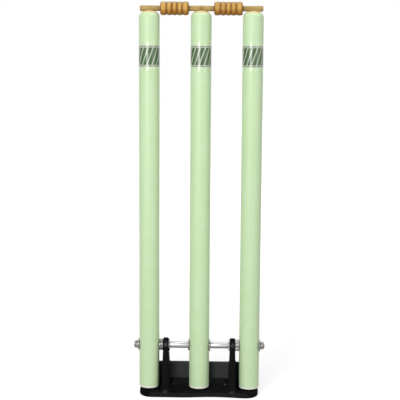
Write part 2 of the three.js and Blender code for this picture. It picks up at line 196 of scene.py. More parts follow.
class BailSettings(PropertyGroup):
    """Sizes and colours of the two turned bails."""

    spigot_radius: length("Spigot radius", "Radius of the spigots at their ends", 0.0053)
    spigot_waist: length("Spigot waist", "Radius of the spigots where they meet the barrel", 0.00498)
    spigot_round: length("Spigot rounding", "Rounding of the spigot ends", 0.0018)
    inner_round: length("Inner rounding", "Rounding of the ends that meet in the middle", 0.0005)
    short_spigot: length("Short spigot", "Length of the spigot over the middle stump", 0.02325)
    inner_reach: length("Inner reach", "How much further the bails reach to meet in the middle", 0.00025)
    barrel_length: length("Barrel length", "Length of the barrel", 0.052)
    barrel_radius: length("Barrel radius", "Largest radius of the barrel", 0.0125)
    beads: count("Beads", "Beads along the barrel", 5)
    end_growth: share("End bead growth", "How much longer the end beads are", 0.12)
    notch_depth: length("Notch depth", "Depth of the burnt notches", 0.0011)
    # Painted shade: how far round each notch the wood is darkened, standing in for the shade in the notches.
    notch_reach: length("Notch reach", "How far varnish darkens the wood round a notch", 0.0017)
    notch_width: length("Notch width", "Width of the burnt notches", 0.0012)
    end_round: length("End rounding", "Rounding of the barrel's ends", 0.0026)
    end_grain: length("End grain reach", "How far the darker end grain reaches along the spigots", 0.0014)
    end_stain: share("End grain stain", "How strongly the end grain is darkened", 0.5)
    sides: count("Sides", "Faces round the bail", 64)
    wood: colour("Barrel wood", "the varnished barrel", 233, 189, 95)
    wood_dark: colour("Barrel grain", "the barrel's darker grain", 164, 106, 22)
    # Painted shade: a greyer, darker colour along the barrel's top, standing in for how light falls there.
    dulled: colour("Dulled top", "the varnish where light has dulled the barrel's top", 150, 128, 78)
    plain: colour("Spigot wood", "the plain spigots", 190, 162, 96)
    plain_dark: colour("Spigot grain", "the spigots' darker grain", 158, 122, 60)
    burn: colour("Burnt line", "the notches", 92, 48, 12)


class CastingSettings(PropertyGroup):
    """Sizes and colours of the cast base."""

    skin: length("Skin", "Grid on which the casting's skin is laid", 0.0011)
    rounds: count("Rounding", "How many times the cast edges are smoothed", 7, 0)
    eye_at: length("Eye place", "How far each eye's middle stands from the centre", 0.0635)
    eye_radius: length("Eye radius", "Outer radius of the eyes", 0.0135)
    eye_half: length("Eye half width", "Half the width of the eyes along the rod", 0.0055)
    eye_round: length("Eye rounding", "Rounding of the eyes' outer edges", 0.0034)
    arch_rise: length("Arch rise", "How far the front of the underside rises", 0.0021)
    arch_middle: length("Arch middle", "Where along X the front of the underside is highest", 0.030, -1)
    arch_reach: length("Arch reach", "Half the width of that rise", 0.062)
    arch_depth: length("Arch depth", "How far back from the front edge that rise reaches", 0.03)
    wall_front: length("Wall front", "Where the wall's face stands along Y", 0.0194)
    wall_foot: length("Wall foot", "Height of the slot's top", 0.0225)
    plate_front: length("Plate front", "Where the plate's front edge stands along Y", -0.031, -1)
    plate_top: length("Plate top", "Height of the plate's upper face", 0.0105)
    paint: colour("Paint", "the black paint", 8, 8, 9)
    paint_dull: colour("Dull paint", "the black paint where it is dull", 19, 19, 20)
    # Dirt and painted sheen: partly dirt, partly a painted sheen standing in for the reflection of light on
    # the wall's face.
    dusty: colour("Dusty wall", "the wall's dull face", 62, 63, 63)
    chip: colour("Chipped metal", "the metal where the paint is knocked off", 150, 148, 144)
    # Painted highlight: the lighter grey of small spots that stand in for glints of light on the casting.
    scuff: colour("Scuffed paint", "the paint where it is rubbed", 88, 88, 91)


class HardwareSettings(PropertyGroup):
    """Sizes and colours of the rod, washers, nuts and eyes."""

    edge: length("Edge", "Rounding of the punched and turned edges", 0.00025)
    thread_pitch: length("Rod thread pitch", "Distance between the rod's threads", 0.00125)
    thread_depth: length("Rod thread depth", "Depth of the rod's threads", 0.0006)
    thread_run: length("Rod thread run", "Length of the threads from each end", 0.009)
    collar_radius: length("Nut collar radius", "Radius of the lock nut's collar", 0.0059)
    collar_height: length("Nut collar height", "Height of the lock nut's collar", 0.0014)
    ring_radius: length("Eye radius", "Radius of the eyes at their wire's middle", 0.0043)
    ring_wire: length("Eye wire", "Thickness of the eyes' wire", 0.0026)
    screw_radius: length("Screw radius", "Radius of the screw eye's shank", 0.0017)
    screw_tip: length("Screw tip", "Length of the screw eye's point", 0.004)
    bolt_radius: length("Anchor bolt radius", "Radius of the anchor bolt's shank", 0.002)
    bolt_pitch: length("Anchor thread pitch", "Distance between the anchor bolt's threads", 0.0007)
    bolt_depth: length("Anchor thread depth", "Depth of the anchor bolt's threads", 0.0003)
    sides: count("Sides", "Faces round each round piece", 64)
    zinc: colour("Zinc", "the bright zinc plate", 192, 192, 194)
    zinc_dull: colour("Dull zinc", "the bright zinc plate where it is dull", 180, 180, 182)
    aged: colour("Aged zinc", "the handled nuts and washers", 172, 171, 166)
    aged_dull: colour("Dull aged zinc", "the nuts and washers where they are dullest", 102, 99, 92)


class SpringSettings(PropertyGroup):
    """Sizes and colours of the return springs."""

    wire: length("Wire", "Thickness of the spring wire", 0.0016)
    radius: length("Radius", "Radius of the coil at its wire's middle", 0.0038)
    curls: count("Curls", "Turns of the coil", 12)
    pitch: length("Pitch", "Distance between two curls", 0.0026)
    lead_in: length("Lead-in", "Straight run between hook and coil", 0.004)
    steps: count("Steps", "Steps for each curl", 24)
    hook_steps: count("Hook steps", "Steps for each hook", 20)
    wire_sides: count("Wire sides", "Faces round the wire", 12)
    hook_share: share("Hook share", "Share of a full circle that a hook takes", 0.68)
    still: length("Still end", "Where along Y the spring stays with the base", 0.0595)
    moving: length("Moving end", "Where along Y the spring follows the stump", 0.0322)
    steel: colour("Spring steel", "the drawn wire", 176, 177, 180)
    steel_dark: colour("Dark steel", "the wire's darker streaks", 120, 121, 124)


class StudioSettings(PropertyGroup):
    """The floor, lights and camera."""

    camera_x: length("Camera X", "Camera's place along X", 0.0553, -10)
    camera_y: length("Camera Y", "Camera's place along Y", -2.0, -10)
    camera_z: length("Camera Z", "Camera's height", 0.661, -10)
    tilt: angle("Tilt", "Camera's turn downwards", 8.14)
    yaw: angle("Yaw", "Camera's turn to the right", -1.59)
    roll: angle("Roll", "Camera's roll", 0.36)
    lens: number("Lens", "Focal length", 97.1, unit="CAMERA")
    world: number("World", "Strength of the light from all round", 0.44, min=0)
    key: power("Key", "Power of the large front light", 40)
    fill: power("Fill", "Power of the side light", 12)
    top: power("Top", "Power of the light overhead", 14)
    floor: colour("Floor", "the floor", 142, 142, 142)


# Node helpers


def fill(tree, node, values):
    """Fills a node's inputs: sockets are linked, and colours get their alpha here."""
    for key, value in values.items():
        socket = node.inputs[key]
        if isinstance(value, bpy.types.NodeSocket):
            tree.links.new(value, socket)
        elif socket.type == "RGBA":
            socket.default_value = (*value, 1)
        else:
            socket.default_value = value


def add(tree, kind, values=None, **settings):
    """Adds a node, sets its settings and fills its inputs."""
    made = tree.nodes.new(kind)
    for key, value in settings.items():
        setattr(made, key, value)
    fill(tree, made, values or {})
    return made


def blend_colour(tree, factor, first, second):
    """Runs from a first colour to a second as the factor goes from 0 to 1."""
    return add(tree, "ShaderNodeMix", {0: factor, 6: first, 7: second}, data_type="RGBA").outputs[2]


def blend_value(tree, factor, first, second):
    """Runs from a first value to a second as the factor goes from 0 to 1."""
    return add(tree, "ShaderNodeMix", {0: factor, 2: first, 3: second}, data_type="FLOAT").outputs[0]


def calc(tree, operation, *values):
    """What a math node makes of one to three values."""
    return add(tree, "ShaderNodeMath", dict(enumerate(values)), operation=operation).outputs[0]


def times(tree, first, second, plus=0.0):
    """Multiplies two values and adds a third."""
    return calc(tree, "MULTIPLY_ADD", first, second, plus)


def span(tree, value, low, high, start=0.0, end=1.0):
    """Carries a value from low..high to start..end on a soft curve, held at both ends."""
    values = {"Value": value, "From Min": low, "From Max": high, "To Min": start, "To Max": end}
    return add(tree, "ShaderNodeMapRange", values, interpolation_type="SMOOTHSTEP", clamp=True).outputs[0]


def above(tree, value, edge, soft):
    """1 where a value is above an edge and 0 below it, with a soft step between."""
    return span(tree, value, edge - soft, edge + soft)


def below(tree, value, edge, soft):
    """1 where a value is below an edge and 0 above it, with a soft step between."""
    return span(tree, value, edge - soft, edge + soft, 1.0, 0.0)


def between(tree, value, low, high, soft):
    """1 where a value lies between two edges, with a soft step at each."""
    return times(tree, above(tree, value, low, soft), below(tree, value, high, soft))


def split(tree, vector):
    """The X, Y and Z of a vector."""
    return add(tree, "ShaderNodeSeparateXYZ", {"Vector": vector}).outputs


def stretched(tree, vector, scale):
    """The same coordinates, squeezed or stretched along each axis."""
    return add(tree, "ShaderNodeMapping", {"Vector": vector, "Scale": scale}).outputs[0]


def noise(tree, vector, scale, detail=3.0, roughness=0.55, distortion=0.0):
    """Cloudy noise with about as many lumps in a metre as its scale."""
    values = {
        "Vector": vector, "Scale": scale, "Detail": detail, "Roughness": roughness, "Distortion": distortion,
    }
    return add(tree, "ShaderNodeTexNoise", values).outputs[0]


def bumped(tree, height, distance):
    """The normals of a surface that rises by a distance in metres where a height is 1."""
    return add(tree, "ShaderNodeBump", {"Height": height, "Distance": distance, "Strength": 1.0}).outputs[0]


def effect(tree, draw, values):
    """Places the shader group that a function draws, and gives what it puts out; it is drawn only once."""
    name = draw.__name__.replace("_", " ").capitalize()
    group = bpy.data.node_groups.get(name)
    if group is None:
        group = bpy.data.node_groups.new(name, "ShaderNodeTree")
        for label in values:
            kind = "NodeSocketVector" if label == "Vector" else "NodeSocketFloat"
            group.interface.new_socket(name=label, in_out="INPUT", socket_type=kind)
        given = group.nodes.new("NodeGroupInput").outputs
        results = draw(group, *(given[label] for label in values))
        for label in results:
            group.interface.new_socket(name=label, in_out="OUTPUT", socket_type="NodeSocketFloat")
        fill(group, group.nodes.new("NodeGroupOutput"), results)
    return add(tree, "ShaderNodeGroup", values, node_tree=group).outputs


def wood_fibre(tree, vector, density):
    """Fine fibres and broad growth lines, drawn out along whichever axis the coordinates are stretched."""
    fibres = noise(tree, vector, density, 6.0, 0.7, 0.2)
    broad = noise(tree, vector, times(tree, density, 0.22), 2.0, 0.5, 0.4)
    lines = times(tree, calc(tree, "PINGPONG", times(tree, broad, 11.0), 0.5), 2.0)
    return {"Grain": blend_value(tree, 0.42, span(tree, fibres, 0.34, 0.66), lines), "Relief": fibres}


def hand_finish(tree, vector, patch_scale, speck_scale):
    """Soft patches and small specks, as on any painted, plated or printed surface."""
    patches = noise(tree, vector, patch_scale, 4.0, 0.6)
    return {"Patches": span(tree, patches, 0.3, 0.7), "Specks": noise(tree, vector, speck_scale, 2.0, 0.5)}


def fibred(tree, vector, scale, density):
    """The grain and relief of wood whose fibres run along the axis that the scale shortens."""
    values = {"Vector": stretched(tree, vector, scale), "Density": density}
    made = effect(tree, wood_fibre, values)
    return made["Grain"], made["Relief"]


def finished(tree, vector, patch_scale, speck_scale):
    """The patches and specks of a hand finish at two scales."""
    values = {"Vector": vector, "Patch Scale": patch_scale, "Speck Scale": speck_scale}
    made = effect(tree, hand_finish, values)
    return made["Patches"], made["Specks"]


# Materials


def material(name, draw, patch_scale, speck_scale):
    """The named material: draw() gives its shader's values from its object coordinates and hand finish."""
    if name in bpy.data.materials:
        return bpy.data.materials[name]
    made = bpy.data.materials.new(name)
    made.use_nodes = True
    tree = made.node_tree
    place = add(tree, "ShaderNodeTexCoord").outputs["Object"]
    patches, specks = finished(tree, place, patch_scale, speck_scale)
    fill(tree, tree.nodes["Principled BSDF"], draw(tree, place, patches, specks))
    return made


def groove_half(sizes):
    """Half the width of the bails' groove at its lips."""
    return math.sqrt(sizes.groove_radius**2 - (sizes.groove_radius - sizes.groove_depth) ** 2)


def stump_paint(tree, place, patches, specks):
    """Pale green satin paint over ash, with bare wood at the crown, in the groove and round the foot."""
    sizes = bpy.context.scene.stump_settings
    ragged = 0.0011
    axes = split(tree, place)
    height = calc(tree, "ADD", axes["Z"], times(tree, noise(tree, place, 260.0), ragged, -ragged / 2))
    crown = above(tree, height, POST_HIGH.z - sizes.bare_crown, PAINT_EDGE)
    foot = below(tree, height, POST_LOW.z + sizes.bare_foot, PAINT_EDGE)
    in_groove = below(tree, calc(tree, "ABSOLUTE", axes["Y"]), groove_half(sizes) + 0.00035, 0.00025)
    near_top = above(tree, axes["Z"], POST_HIGH.z - 0.0029, PAINT_EDGE)
    bare = calc(tree, "MAXIMUM", crown, times(tree, in_groove, near_top))

    upwards = (1.0, 1.0, 0.05)
    brushed, _ = finished(tree, stretched(tree, place, upwards), 190.0, 900.0)
    grain, fibres = fibred(tree, place, upwards, 420.0)
    thin = times(tree, brushed, 0.35, times(tree, patches, 0.55))
    paint = blend_colour(tree, thin, sizes.paint, sizes.paint_thin)
    paint = blend_colour(tree, foot, paint, sizes.rim)
    wood = blend_colour(tree, grain, sizes.ash, sizes.ash_dark)
    relief = times(tree, fibres, blend_value(tree, bare, 0.35, 1.0))
    return {
        "Base Color": blend_colour(tree, bare, paint, wood),
        "Roughness": blend_value(tree, bare, times(tree, patches, 0.1, 0.4), 0.62),
        "Normal": bumped(tree, times(tree, specks, 0.25, relief), 0.00012),
        "Specular IOR Level": 0.45,
    }


def printed_film(tree, place, patches, specks):
    """Sloping green bars between thin grey rules, with a clear margin above and below."""
    sizes = bpy.context.scene.band_settings
    paint = bpy.context.scene.stump_settings
    outline_height, outline_share = 0.0011, 0.13
    axes = split(tree, add(tree, "ShaderNodeUVMap", uv_map="Film").outputs[0])
    height = axes["Y"]
    low_edge = sizes.margin
    high_edge = sizes.margin + sizes.print_high - sizes.print_low
    bars_low = low_edge + 2.2 * sizes.rule
    bars_high = high_edge - 2.2 * sizes.rule
    printed = between(tree, height, low_edge, high_edge, PRINT_EDGE)
    in_row = between(tree, height, bars_low, bars_high, PRINT_EDGE)
    in_core = between(tree, height, bars_low + outline_height, bars_high - outline_height, PRINT_EDGE)

    leaning = times(tree, height, -sizes.bar_slope, axes["X"])
    step = calc(tree, "FRACT", calc(tree, "DIVIDE", leaning, sizes.bar_pitch))
    from_middle = calc(tree, "ABSOLUTE", calc(tree, "SUBTRACT", step, 0.5))
    half = sizes.bar_share / 2
    edge_share = PRINT_EDGE / sizes.bar_pitch
    bar = times(tree, below(tree, from_middle, half, edge_share), in_row)
    core = times(tree, below(tree, from_middle, half - outline_share, edge_share), in_core)
    low_rule = below(tree, height, low_edge + sizes.rule, PRINT_EDGE)
    rule = calc(tree, "MAXIMUM", low_rule, above(tree, height, high_edge - sizes.rule, PRINT_EDGE))

    faded = times(tree, patches, 0.3)
    ground = blend_colour(tree, faded, sizes.ground, sizes.rule_grey)
    ground = blend_colour(tree, rule, ground, sizes.rule_grey)
    green = blend_colour(tree, core, sizes.bar_edge, sizes.bar_green)
    green = blend_colour(tree, faded, green, sizes.bar_green)
    inked = blend_colour(tree, bar, ground, green)
    clear = blend_colour(tree, patches, paint.paint, paint.paint_thin)
    return {
        "Base Color": blend_colour(tree, printed, clear, inked),
        "Roughness": times(tree, patches, 0.12, 0.2),
        "Normal": bumped(tree, patches, 0.00008),
        "Coat Weight": 0.3,
        "Coat Roughness": 0.12,
    }


def bail_wood(tree, place, patches, specks):
    """Varnished wood with grain along the bail and burnt notches, with painted shade round the notches,
    towards the underside and along the top.
    """
    sizes = bpy.context.scene.bail_settings
    burn, barrel, hollow = (
        add(tree, "ShaderNodeAttribute", attribute_name=name, attribute_type="GEOMETRY").outputs["Fac"]
        for name in ("burn", "barrel", "hollow")
    )
    grain, fibres = fibred(tree, place, (0.07, 1.0, 1.0), 620.0)
    grain = times(tree, grain, 0.6)
    plain = blend_colour(tree, grain, sizes.plain, sizes.plain_dark)
    varnished = blend_colour(tree, grain, sizes.wood, sizes.wood_dark)
    # Painted shade: the wood is darkened round each notch, a little more on some beads than others, standing
    # in for the shade in the notches.
    beads = noise(tree, stretched(tree, place, (1.0, 0.12, 0.12)), 70.0, 1.0)
    painted_shade = times(tree, hollow, 0.75, span(tree, beads, 0.4, 0.75, 0.0, 0.3))
    height = split(tree, place)["Z"]
    # Painted shade: the barrel darkens towards its underside, standing in for the shade under it.
    painted_under_shade = span(tree, height, BAIL_Z - 0.0115, BAIL_Z + 0.003, 0.85, 0.0)
    painted_shade = calc(tree, "MINIMUM", calc(tree, "ADD", painted_shade, painted_under_shade), 1.0)
    varnished = blend_colour(tree, painted_shade, varnished, sizes.wood_dark)
    # Painted shade: the barrel's top turns greyer and darker, standing in for how light falls there.
    painted_top_shade = span(tree, height, BAIL_Z + 0.0045, BAIL_Z + 0.0118, 0.0, 0.55)
    varnished = blend_colour(tree, painted_top_shade, varnished, sizes.dulled)
    burnt = times(tree, burn, times(tree, patches, 0.4, 0.6))
    return {
        "Base Color": blend_colour(tree, burnt, blend_colour(tree, barrel, plain, varnished), sizes.burn),
        "Roughness": times(tree, patches, 0.14, 0.42),
        "Normal": bumped(tree, times(tree, specks, 0.4, fibres), 0.00012),
        "Specular IOR Level": 0.35,
        "Coat Weight": 0.1,
        "Coat Roughness": 0.25,
    }


def casting_paint(tree, place, patches, specks):
    """Satin black paint over the pitted skin of a sand casting, with a few knocked edges, dirt and a painted
    sheen on the wall's face, and a few painted highlights.
    """
    sizes = bpy.context.scene.casting_settings
    axes = split(tree, place)
    chipped = above(tree, noise(tree, place, 140.0, 5.0, 0.75), 0.755, 0.01)
    relief = times(tree, noise(tree, place, 230.0, 4.0, 0.6), 1.6, specks)
    black = blend_colour(tree, patches, sizes.paint, sizes.paint_dull)

    # Dirt and painted sheen: the wall's face over the slot, and a little of the plate's front edge, take a
    # lighter, duller colour, partly dirt and partly standing in for the reflection of light there.
    on_wall = span(tree, axes["Y"], sizes.wall_front - 0.002, sizes.wall_front - 0.0005)
    behind = span(tree, axes["Y"], sizes.wall_front + 0.004, sizes.wall_front + 0.007, 1.0, 0.0)
    over_slot = span(tree, axes["Z"], sizes.wall_foot - 0.001, sizes.wall_foot + 0.004)
    front_sheen = span(tree, axes["Y"], sizes.plate_front + 0.0004, sizes.plate_front + 0.0012, 0.22, 0.0)
    dust_and_sheen = calc(tree, "MAXIMUM", times(tree, times(tree, on_wall, behind), over_slot), front_sheen)
    black = blend_colour(tree, dust_and_sheen, black, sizes.dusty)

    # Painted highlights: lighter, glossier spots on the eyes' fronts, the ribs' feet and the slot's ends,
    # standing in for glints of light there.
    both_sides = {"X": calc(tree, "ABSOLUTE", axes["X"]), "Y": axes["Y"], "Z": axes["Z"]}
    folded = add(tree, "ShaderNodeCombineXYZ", both_sides).outputs[0]
    highlight_spots = 0.0
    for spot, reach in PAINTED_HIGHLIGHTS:
        away = add(tree, "ShaderNodeVectorMath", {0: folded, 1: spot}, operation="DISTANCE").outputs["Value"]
        highlight_spots = calc(tree, "MAXIMUM", span(tree, away, reach * 0.3, reach, 1.0, 0.0), highlight_spots)
    highlit = times(tree, highlight_spots, span(tree, noise(tree, place, 620.0), 0.38, 0.6))
    black = blend_colour(tree, highlit, black, sizes.scuff)

    flat = below(tree, axes["Z"], sizes.plate_top + 0.0007, 0.0005)
    rough = blend_value(tree, flat, times(tree, patches, 0.12, 0.66), 1.0)
    rough = blend_value(tree, highlit, rough, 0.4)
    return {
        "Base Color": blend_colour(tree, chipped, black, sizes.chip),
        "Metallic": chipped,
        "Roughness": blend_value(tree, dust_and_sheen, rough, 0.72),
        "Normal": bumped(tree, times(tree, chipped, -0.5, relief), 0.00022),
        "IOR": 1.35,
        "Specular IOR Level": 0.1,
    }


def bare_metal(name, patch_scale, bright, dull, rough, uneven, pits):
    """A plated or drawn metal whose soft blooms vary its colour and gloss."""

    def draw(tree, place, patches, specks):
        """The metal's shader values, drawn from its hand finish alone."""
        return {
            "Base Color": blend_colour(tree, patches, bright, dull),
            "Metallic": 1.0,
            "Roughness": times(tree, patches, uneven, rough),
            "Normal": bumped(tree, specks, pits),
        }

    return material(name, draw, patch_scale, 2600.0)


def zinc_plate():
    """Bright zinc plate, on the rod, tubes and eyes."""
    sizes = bpy.context.scene.hardware_settings
    return bare_metal("Zinc plate", 260.0, sizes.zinc, sizes.zinc_dull, 0.33, 0.03, 0.000004)


def aged_zinc():
    """Zinc plate dulled by handling, on the nuts and washers."""
    sizes = bpy.context.scene.hardware_settings
    return bare_metal("Aged zinc plate", 260.0, sizes.aged, sizes.aged_dull, 0.2, 0.14, 0.00003)


def spring_wire():
    """Drawn spring wire, a little darker than the plated pieces."""
    sizes = bpy.context.scene.spring_settings
    return bare_metal("Spring wire", 420.0, sizes.steel, sizes.steel_dark, 0.28, 0.12, 0.00003)


# Mesh helpers


def arc(middle_radius, middle_along, radius, start, end, steps, rise=None):
    """Points of (radius, distance along) on a round corner, or an oval one where its rise is given.

    Angles are in degrees, 0 outwards and 90 along the axis.
    """
    angles = [math.radians(start + (end - start) * step / steps) for step in range(steps + 1)]
    rise = rise or radius
    return [(middle_radius + radius * math.cos(a), middle_along + rise * math.sin(a)) for a in angles]


def of_kind(geom, kind):
    """The vertices, edges or faces in a list that holds several kinds."""
    return [item for item in geom if isinstance(item, kind)]


def turned(outline, centre, axis, sides, ring=False):
    """A mesh spun from an outline of (radius, distance along) points about an axis through centre."""
    bm = bmesh.new()
    outwards = axis.orthogonal().normalized()
    verts = [bm.verts.new(centre + axis * along + outwards * radius) for radius, along in outline]
    ends = verts[1:] + verts[:1] if ring else verts[1:]
    edges = [bm.edges.new(pair) for pair in zip(verts, ends)]
    bmesh.ops.spin(
        bm, geom=verts + edges, cent=centre, axis=axis, angle=FULL_TURN, steps=sides, use_merge=True
    )
    return bm


def round_bar(radius, centre, axis, start, end, sides):
    """A plain round bar between two distances along an axis."""
    return turned([(0, start), (radius, start), (radius, end), (0, end)], centre, axis, sides)


def put(name, data):
    """Puts an object for a mesh, light or camera in the scene, at the origin."""
    made = bpy.data.objects.new(name, data)
    bpy.context.scene.collection.objects.link(made)
    return made


def link_mesh(bm, name="tool"):
    """Closes a bmesh and puts it in the scene."""
    bmesh.ops.remove_doubles(bm, verts=bm.verts, dist=MERGE_DISTANCE)
    bmesh.ops.recalc_face_normals(bm, faces=bm.faces)
    mesh = bpy.data.meshes.new(name)
    bm.to_mesh(mesh)
    bm.free()
    return put(name, mesh)


def settle(piece):
    """Applies the piece's modifiers to its mesh."""
    graph = bpy.context.evaluated_depsgraph_get()
    graph.update()
    old = piece.data
    mesh = bpy.data.meshes.new_from_object(piece.evaluated_get(graph))
    piece.modifiers.clear()
    piece.data = mesh
    bpy.data.meshes.remove(old)
    mesh.name = piece.name


def joined(piece, how, *shapes):
    """Cuts, joins or crosses a piece with other shapes, which are used up."""
    tools = [link_mesh(shape) for shape in shapes]
    for tool in tools:
        step = piece.modifiers.new("Join", "BOOLEAN")
        step.operation = how
        step.solver = "EXACT"
        step.object = tool
    settle(piece)
    for tool in tools:
        mesh = tool.data
        bpy.data.objects.remove(tool)
        bpy.data.meshes.remove(mesh)
    return piece


def dressed(piece, look, body, nodes, sharp):
    """Gives a piece its material and smooth shading, hides the CAD nodes that it stands in for, and ties it
    to its body if it has one.
    """
    mesh = piece.data
    mesh.materials.clear()
    mesh.materials.append(look)
    for face in mesh.polygons:
        face.material_index = 0
    mesh.shade_smooth()
    mesh.set_sharp_from_angle(angle=math.radians(sharp))
    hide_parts(*nodes)
    if body:
        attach(piece, body)


def centre_of(node):
    """A node's middle, and its size along each axis."""
    low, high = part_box(node)
    return (low + high) / 2, high - low


# Pieces


def post_outline(sizes, radius):
    """The post's outline: a rounded foot, and a dome that is as high as the post at the groove's lips."""
    foot, depth, height, dome = POST_LOW.z, sizes.foot_depth, sizes.foot_height, sizes.dome_height
    lip = groove_half(sizes) / radius
    dome_top = POST_HIGH.z + dome * (1 - math.sqrt(1 - lip * lip))
    foot_arc = arc(radius - depth, foot + height, depth, -90, 0, 6, height)
    dome_arc = arc(0, dome_top - dome, radius, 0, 85, 17, dome)
    return [(0, foot), *foot_arc, *dome_arc, (0, dome_top)]


class STUMPS_OT_posts(Operator):
    """Turns the three posts, with their bores, grooves and pilot holes"""

    bl_idname = "stumps.add_posts"
    bl_label = "Add posts"

    def execute(self, context):
        sizes = context.scene.stump_settings
        look = material("Stump paint", stump_paint, 26.0, 700.0)
        groove_z = POST_HIGH.z - sizes.groove_depth + sizes.groove_radius
        for place in PLACES:
            node = f"stump_{place}"
            middle, extent = centre_of(node)
            radius = extent.x / 2
            reach = radius * 1.2
            foot = Vector((middle.x, 0, 0))
            post = link_mesh(turned(post_outline(sizes, radius), foot, Z_AXIS, sizes.sides), f"post_{place}")
            pivot = Vector((middle.x, 0, PIVOT_Z))
            bore = round_bar(ROD_RADIUS + FIT, pivot, X_AXIS, -reach, reach, sizes.sides // 2)
            groove_at = Vector((middle.x, 0, groove_z))
            groove = round_bar(sizes.groove_radius, groove_at, X_AXIS, -reach, reach, sizes.sides)
            pilot_at = Vector((middle.x, 0, SPRING_Z))
            pilot_from = radius - sizes.pilot_depth
            pilot = round_bar(sizes.pilot_radius, pilot_at, Y_AXIS, pilot_from, reach, sizes.sides // 3)
            joined(post, "DIFFERENCE", bore, groove, pilot)
            dressed(post, look, node, [node], 30.0)
        return {"FINISHED"}


class STUMPS_OT_bands(Operator):
    """Wraps a thin printed film round each post"""

    bl_idname = "stumps.add_bands"
    bl_label = "Add bands"

    def execute(self, context):
        sizes = context.scene.band_settings
        sides = context.scene.stump_settings.sides
        look = material("Printed film", printed_film, 120.0, 1500.0)
        low = sizes.print_low - sizes.margin
        high = sizes.print_high + sizes.margin
        for place in PLACES:
            middle, extent = centre_of(f"stump_{place}")
            inner = extent.x / 2 + sizes.stand_off
            outer = inner + sizes.thickness
            outline = [(inner, low), (outer, low), (outer, high), (inner, high)]
            film = link_mesh(turned(outline, Vector((middle.x, 0, 0)), Z_AXIS, sides, True), f"band_{place}")
            unrolled = film.data.uv_layers.new(name="Film")
            for face in film.data.polygons:
                mid = math.atan2(face.center.y, face.center.x - middle.x)
                for corner in face.loop_indices:
                    point = film.data.vertices[film.data.loops[corner].vertex_index].co
                    around = math.atan2(point.y, point.x - middle.x)
                    around += FULL_TURN * round((mid - around) / FULL_TURN)
                    unrolled.data[corner].uv = (around * outer, point.z - low)
            dressed(film, look, f"stump_{place}", [], 40.0)
        return {"FINISHED"}


def bail_outline(sizes, total):
    """The bail's outline from its inner end, and the places of its burnt notches."""
    spigot, waist, start = sizes.spigot_radius, sizes.spigot_waist, sizes.short_spigot
    inner, outer = sizes.inner_round, sizes.spigot_round
    end_bead = sizes.barrel_length / sizes.beads * (1 + sizes.end_growth)
    mid_bead = (sizes.barrel_length - 2 * end_bead) / (sizes.beads - 2)
    neck, taper = 0.0012, 0.006
    outline = [(0, 0), *arc(spigot - inner, inner, inner, -90, 0, 5)]
    outline += [(spigot, start * 0.3), ((spigot + waist) / 2, start * 0.65)]
    outline += [(waist, start - neck), (waist, start)]
    marks = [start]
    last = sizes.beads - 1
    for bead in range(sizes.beads):
        width = end_bead if bead in (0, last) else mid_bead
        low = start + (0 if bead == 0 else sizes.notch_width / 2)
        high = start + width - (0 if bead == last else sizes.notch_width / 2)
        for step in range(BEAD_STEPS + 1):
            along = step / BEAD_STEPS
            lean = 2 * along - 1
            if (bead == 0 and lean < 0) or (bead == last and lean > 0):
                drop = sizes.end_round * abs(lean) ** END_POWER
            else:
                drop = sizes.notch_depth * abs(lean) ** NOTCH_POWER
            outline.append((sizes.barrel_radius - drop, low + (high - low) * along))
        start += width
        marks.append(start)
    outline += [(waist, start), (waist, start + neck), (spigot, total - outer - taper)]
    outline += [*arc(spigot - outer, total - outer, outer, 0, 90, 5), (0, total)]
    return outline, marks


def fading(away, reach):
    """1 at a mark, fading on a bell curve with the distance from it."""
    return math.exp(-((away / reach) ** 2))


class STUMPS_OT_bails(Operator):
    """Turns the two beaded bails"""

    bl_idname = "stumps.add_bails"
    bl_label = "Add bails"

    def execute(self, context):
        sizes = context.scene.bail_settings
        look = material("Bail wood", bail_wood, 95.0, 1600.0)
        for side, sign in SIDES.items():
            node = f"bail_{side}"
            low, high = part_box(node)
            inner = (low.x if sign > 0 else high.x) - sign * sizes.inner_reach
            start = Vector((inner, 0, (low.z + high.z) / 2))
            total = high.x - low.x + sizes.inner_reach
            outline, marks = bail_outline(sizes, total)
            bail = link_mesh(turned(outline, start, X_AXIS * sign, sizes.sides), f"{node}_turned")
            # burn holds the burnt notches and darker end grain, barrel the varnished part, and the third the
            # painted shade round each notch.
            stains = {"burn": [], "barrel": [], "hollow": []}
            for vert in bail.data.vertices:
                along = (vert.co.x - inner) * sign
                away = min(abs(along - mark) for mark in marks)
                end_grain = sizes.end_stain * fading(min(along, total - along), sizes.end_grain)
                stains["burn"].append(max(end_grain, fading(away, sizes.notch_width)))
                stains["barrel"].append(float(marks[0] <= along <= marks[-1]))
                stains["hollow"].append(math.sqrt(fading(away, sizes.notch_reach)))
            for name, values in stains.items():
                bail.data.attributes.new(name, "FLOAT", "POINT").data.foreach_set("value", values)
            dressed(bail, look, node, [node], 50.0)
        return {"FINISHED"}


def round_eye(vert, sizes):
    """Draws a vertex of the casting in to the rounded outer edge of the eye that it is on."""
    from_pivot = Vector((0, vert.co.y, vert.co.z - PIVOT_Z))
    fade_start, fade_run = -0.011, 0.006
    rounding = sizes.eye_round * min(1, max(0, (from_pivot.z - fade_start) / fade_run))
    if rounding == 0 or from_pivot.length == 0:
        return
    side = math.copysign(1, vert.co.x)
    from_middle = abs(vert.co.x) - sizes.eye_at
    across = abs(from_middle) - (sizes.eye_half - rounding)
    outwards = from_pivot.length - (sizes.eye_radius - rounding)
    reach = math.hypot(across, outwards)
    if across > 0 and outwards > 0 and reach > rounding:
        across *= rounding / reach
        outwards *= rounding / reach
        new_middle = math.copysign(sizes.eye_half - rounding + across, from_middle)
        outer = from_pivot.normalized() * (sizes.eye_radius - rounding + outwards)
        vert.co = Vector((side * (sizes.eye_at + new_middle), outer.y, outer.z + PIVOT_Z))


